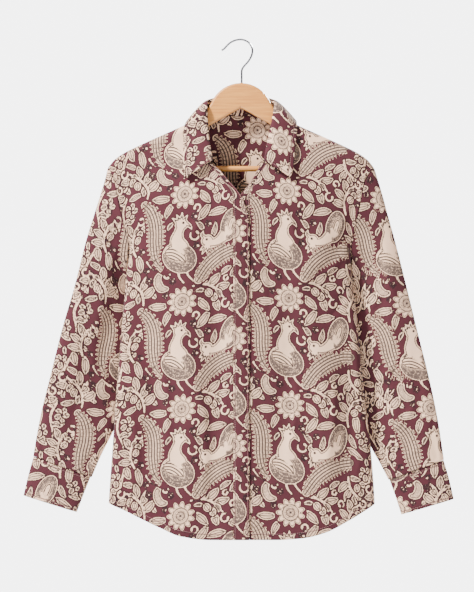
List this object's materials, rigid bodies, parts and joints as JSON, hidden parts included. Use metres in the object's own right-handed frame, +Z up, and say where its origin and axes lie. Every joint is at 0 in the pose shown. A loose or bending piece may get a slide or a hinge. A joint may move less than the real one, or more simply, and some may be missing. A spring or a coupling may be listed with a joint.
{
  "type": "long-sleeve shirt on a hanger",
  "caption": "Long-sleeve shirt with an open pointed collar, hidden front closing, buttoned cuffs and a curved hem, hanging flat on a wooden hanger with a bar and a wire hook.",
  "frame": {"origin": "inside top of the hanger's hook, where the rail bears", "axes": "+Z up; the shirt's front faces -Y; the wearer's right is -X"},
  "size_m": [0.723, 0.0702, 0.8414],
  "materials": {
    "printed_cotton": "plain-weave cotton, block-printed in cream on maroon",
    "varnished_beech": "satin varnish",
    "chromed_wire": "polished",
    "button_resin": "polished resin"
  },
  "bodies": {
    "root": {"front_right": "printed_cotton", "front_left": "printed_cotton", "back": "printed_cotton", "placket_right": "printed_cotton", "placket_left": "printed_cotton", "collar_stand": "printed_cotton", "collar_leaf": "printed_cotton", "sleeve_right": "printed_cotton", "sleeve_left": "printed_cotton", "cuff_right": "printed_cotton", "cuff_left": "printed_cotton", "hanger": "varnished_beech", "hanger_bar": "varnished_beech", "hook": "chromed_wire", "button_front_1": "button_resin", "button_front_2": "button_resin", "button_front_3": "button_resin", "button_front_4": "button_resin", "button_front_5": "button_resin", "button_front_6": "button_resin", "button_cuff_right": "button_resin", "button_cuff_left": "button_resin"}
  },
  "joints": []
}
